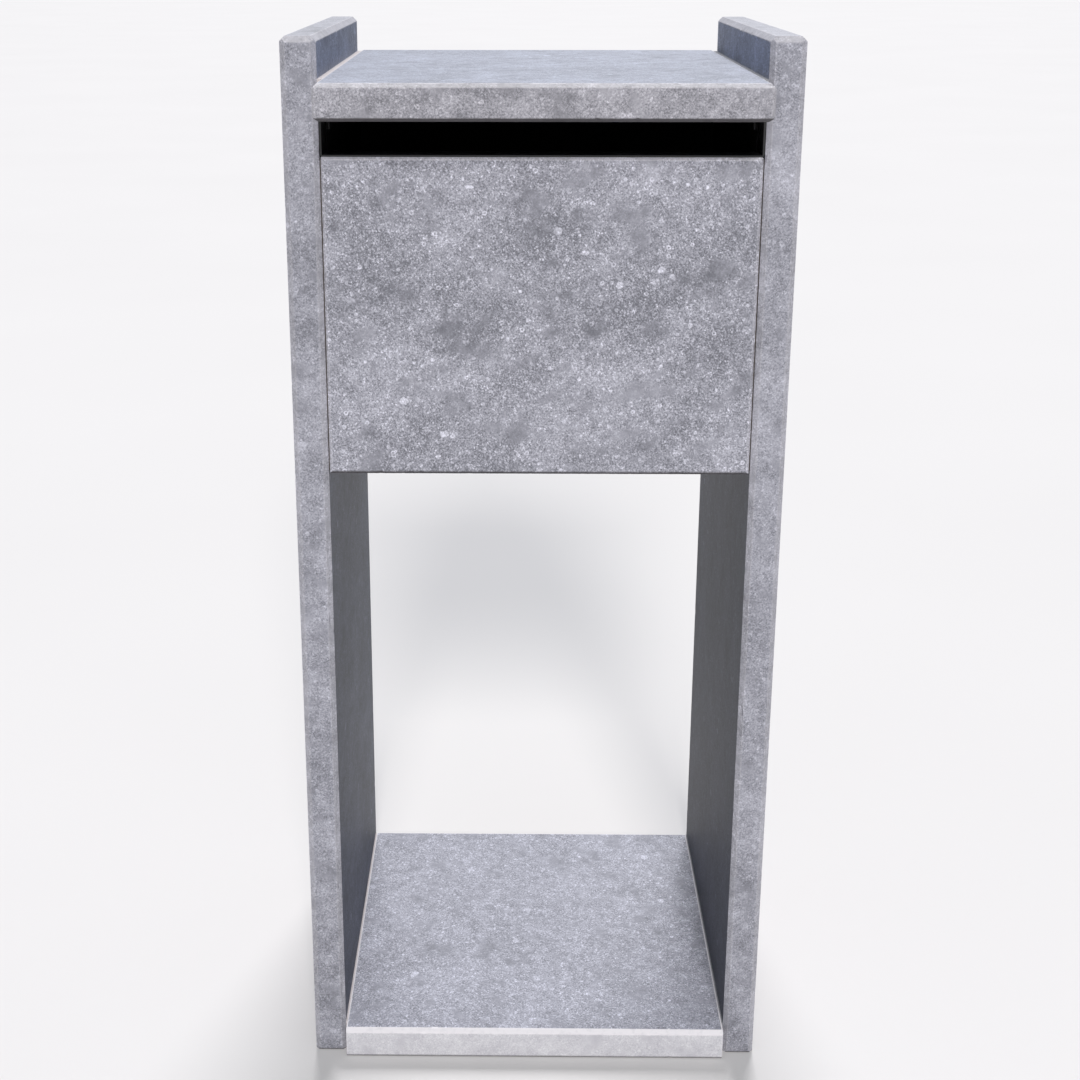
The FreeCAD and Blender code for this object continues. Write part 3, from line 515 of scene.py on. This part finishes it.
def metal(name, colour, roughness, stretch, spangle=0.0):
    """Bare or plated metal with fine drawn marks along the axis whose stretch is smallest."""
    g = Graph(name)
    marks = g.noise(g.place(stretch=stretch), 0.5, 3.0, 0.7)
    place = g.place()
    blotch = g.noise(place, 6.0, 3.0, 0.6)
    flower = g.lot(g.cells(place, 3.0), "Red")
    level = g.total(g.product(marks, 0.5), g.product(blotch, 0.3), g.product(flower, spangle))
    tinted = g.mix(level, shade(colour, 0.72), shade(colour, 1.12))
    rough = g.total(roughness, g.product(g.math("SUBTRACT", marks, 0.5), 0.25), g.product(blotch, 0.06))
    return g.finish({"Base Color": tinted, "Metallic": 1.0, "Roughness": rough,
                     "Normal": g.bump(marks, 0.01)})


def rubber():
    g = Graph("foam_rubber")
    place = g.place()
    pores = g.step(g.cells(place, 0.9).outputs["Distance"], 0.1, 0.5)
    colour = g.mix(pores, shade((0.010, 0.010, 0.010)), shade((0.042, 0.041, 0.040)))
    return g.finish({"Base Color": colour, "Roughness": 0.86, "Specular IOR Level": 0.3,
                     "Normal": g.bump(pores, 0.2)})


def nylon():
    g = Graph("grey_nylon")
    place = g.place()
    flow = g.noise(place, 2.0, 3.0, 0.6)
    colour = g.mix(flow, shade((0.40, 0.40, 0.38)), shade((0.60, 0.60, 0.57)))
    return g.finish({"Base Color": colour, "Roughness": 0.48, "Normal": g.bump(flow, 0.02)})


def finish_cad_nodes():
    """Give each CAD node that stays in view the material of its slot in the record."""
    along_x = (0.05, 1.0, 1.0)
    along_y = (1.0, 0.05, 1.0)
    along_z = (1.0, 1.0, 0.05)
    materials = {
        "stone": None,                     # every such node is replaced by a slab
        "joint_mortar": mortar(),
        "dark_adhesive": adhesive(),
        "stainless": metal("stainless", (0.62, 0.62, 0.63), 0.28, along_x),
        "powder_coat": powder_coat(),
        "zinc_steel": metal("zinc_plate", (0.63, 0.65, 0.68), 0.30, along_z, 0.35),
        "rubber": rubber(),
        "nylon": nylon(),
        "lock_metal": metal("nickel_chrome", (0.74, 0.74, 0.75), 0.14, along_y),
        "key_metal": metal("nickel_brass", (0.68, 0.66, 0.61), 0.24, along_y),
    }
    for part in frame["record"]["subparts"]:
        material = materials[part["material_slot"]]
        if material:
            node = frame["nodes"][part["node"]]
            node.data.materials.clear()
            node.data.materials.append(material)


# ---- studio ------------------------------------------------------------------------------------------------
def camera():
    data = bpy.data.cameras.new("camera")
    data.lens = CAMERA_LENS
    data.sensor_width = CAMERA_SENSOR
    data.shift_x = CAMERA_SHIFT
    data.clip_end = FAR_END
    made = bpy.data.objects.new("camera", data)
    made.location = CAMERA_PLACE
    made.rotation_euler = (math.pi / 2 - CAMERA_TILT, 0.0, CAMERA_TURN)
    bpy.context.scene.collection.objects.link(made)
    bpy.context.scene.camera = made


def soft_sun(name, elevation, azimuth, strength, spread, colour):
    """Even light from a direction, soft as from a large window. Azimuth 0 comes from the front."""
    data = bpy.data.lights.new(name, "SUN")
    data.energy = strength
    data.angle = math.radians(spread)
    data.color = colour
    made = bpy.data.objects.new(name, data)
    made.rotation_euler = (math.radians(90.0 - elevation), 0.0, math.radians(azimuth))
    bpy.context.scene.collection.objects.link(made)


def studio():
    soft_sun("key", **KEY)
    soft_sun("back", **BACK)
    world = bpy.data.worlds.new("studio")
    world.use_nodes = True
    background = world.node_tree.nodes["Background"]
    background.inputs["Color"].default_value = SKY
    background.inputs["Strength"].default_value = SKY_STRENGTH
    bpy.context.scene.world = world
    bpy.context.scene.view_settings.view_transform = "Standard"


def floor():
    """A wide pale floor."""
    corners = [(FLOOR_HALF * x, FLOOR_HALF * y, 0.0) for x, y in ((-1, -1), (1, -1), (1, 1), (-1, 1))]
    mesh = bpy.data.meshes.new("floor")
    mesh.from_pydata(corners, [], [(0, 1, 2, 3)])
    g = Graph("floor_paint")
    tone = g.noise(g.place(), 900.0, 2.0)
    colour = g.mix(tone, shade((0.72, 0.70, 0.69)), shade((0.75, 0.73, 0.72)))
    mesh.materials.append(g.finish({"Base Color": colour, "Roughness": 0.8, "Specular IOR Level": 0.1}))
    made = bpy.data.objects.new("floor", mesh)
    made.location.z = CAD_BOX[0].z - FLOOR_DROP
    bpy.context.scene.collection.objects.link(made)


camera()
stonework()
finish_cad_nodes()
studio()
floor()
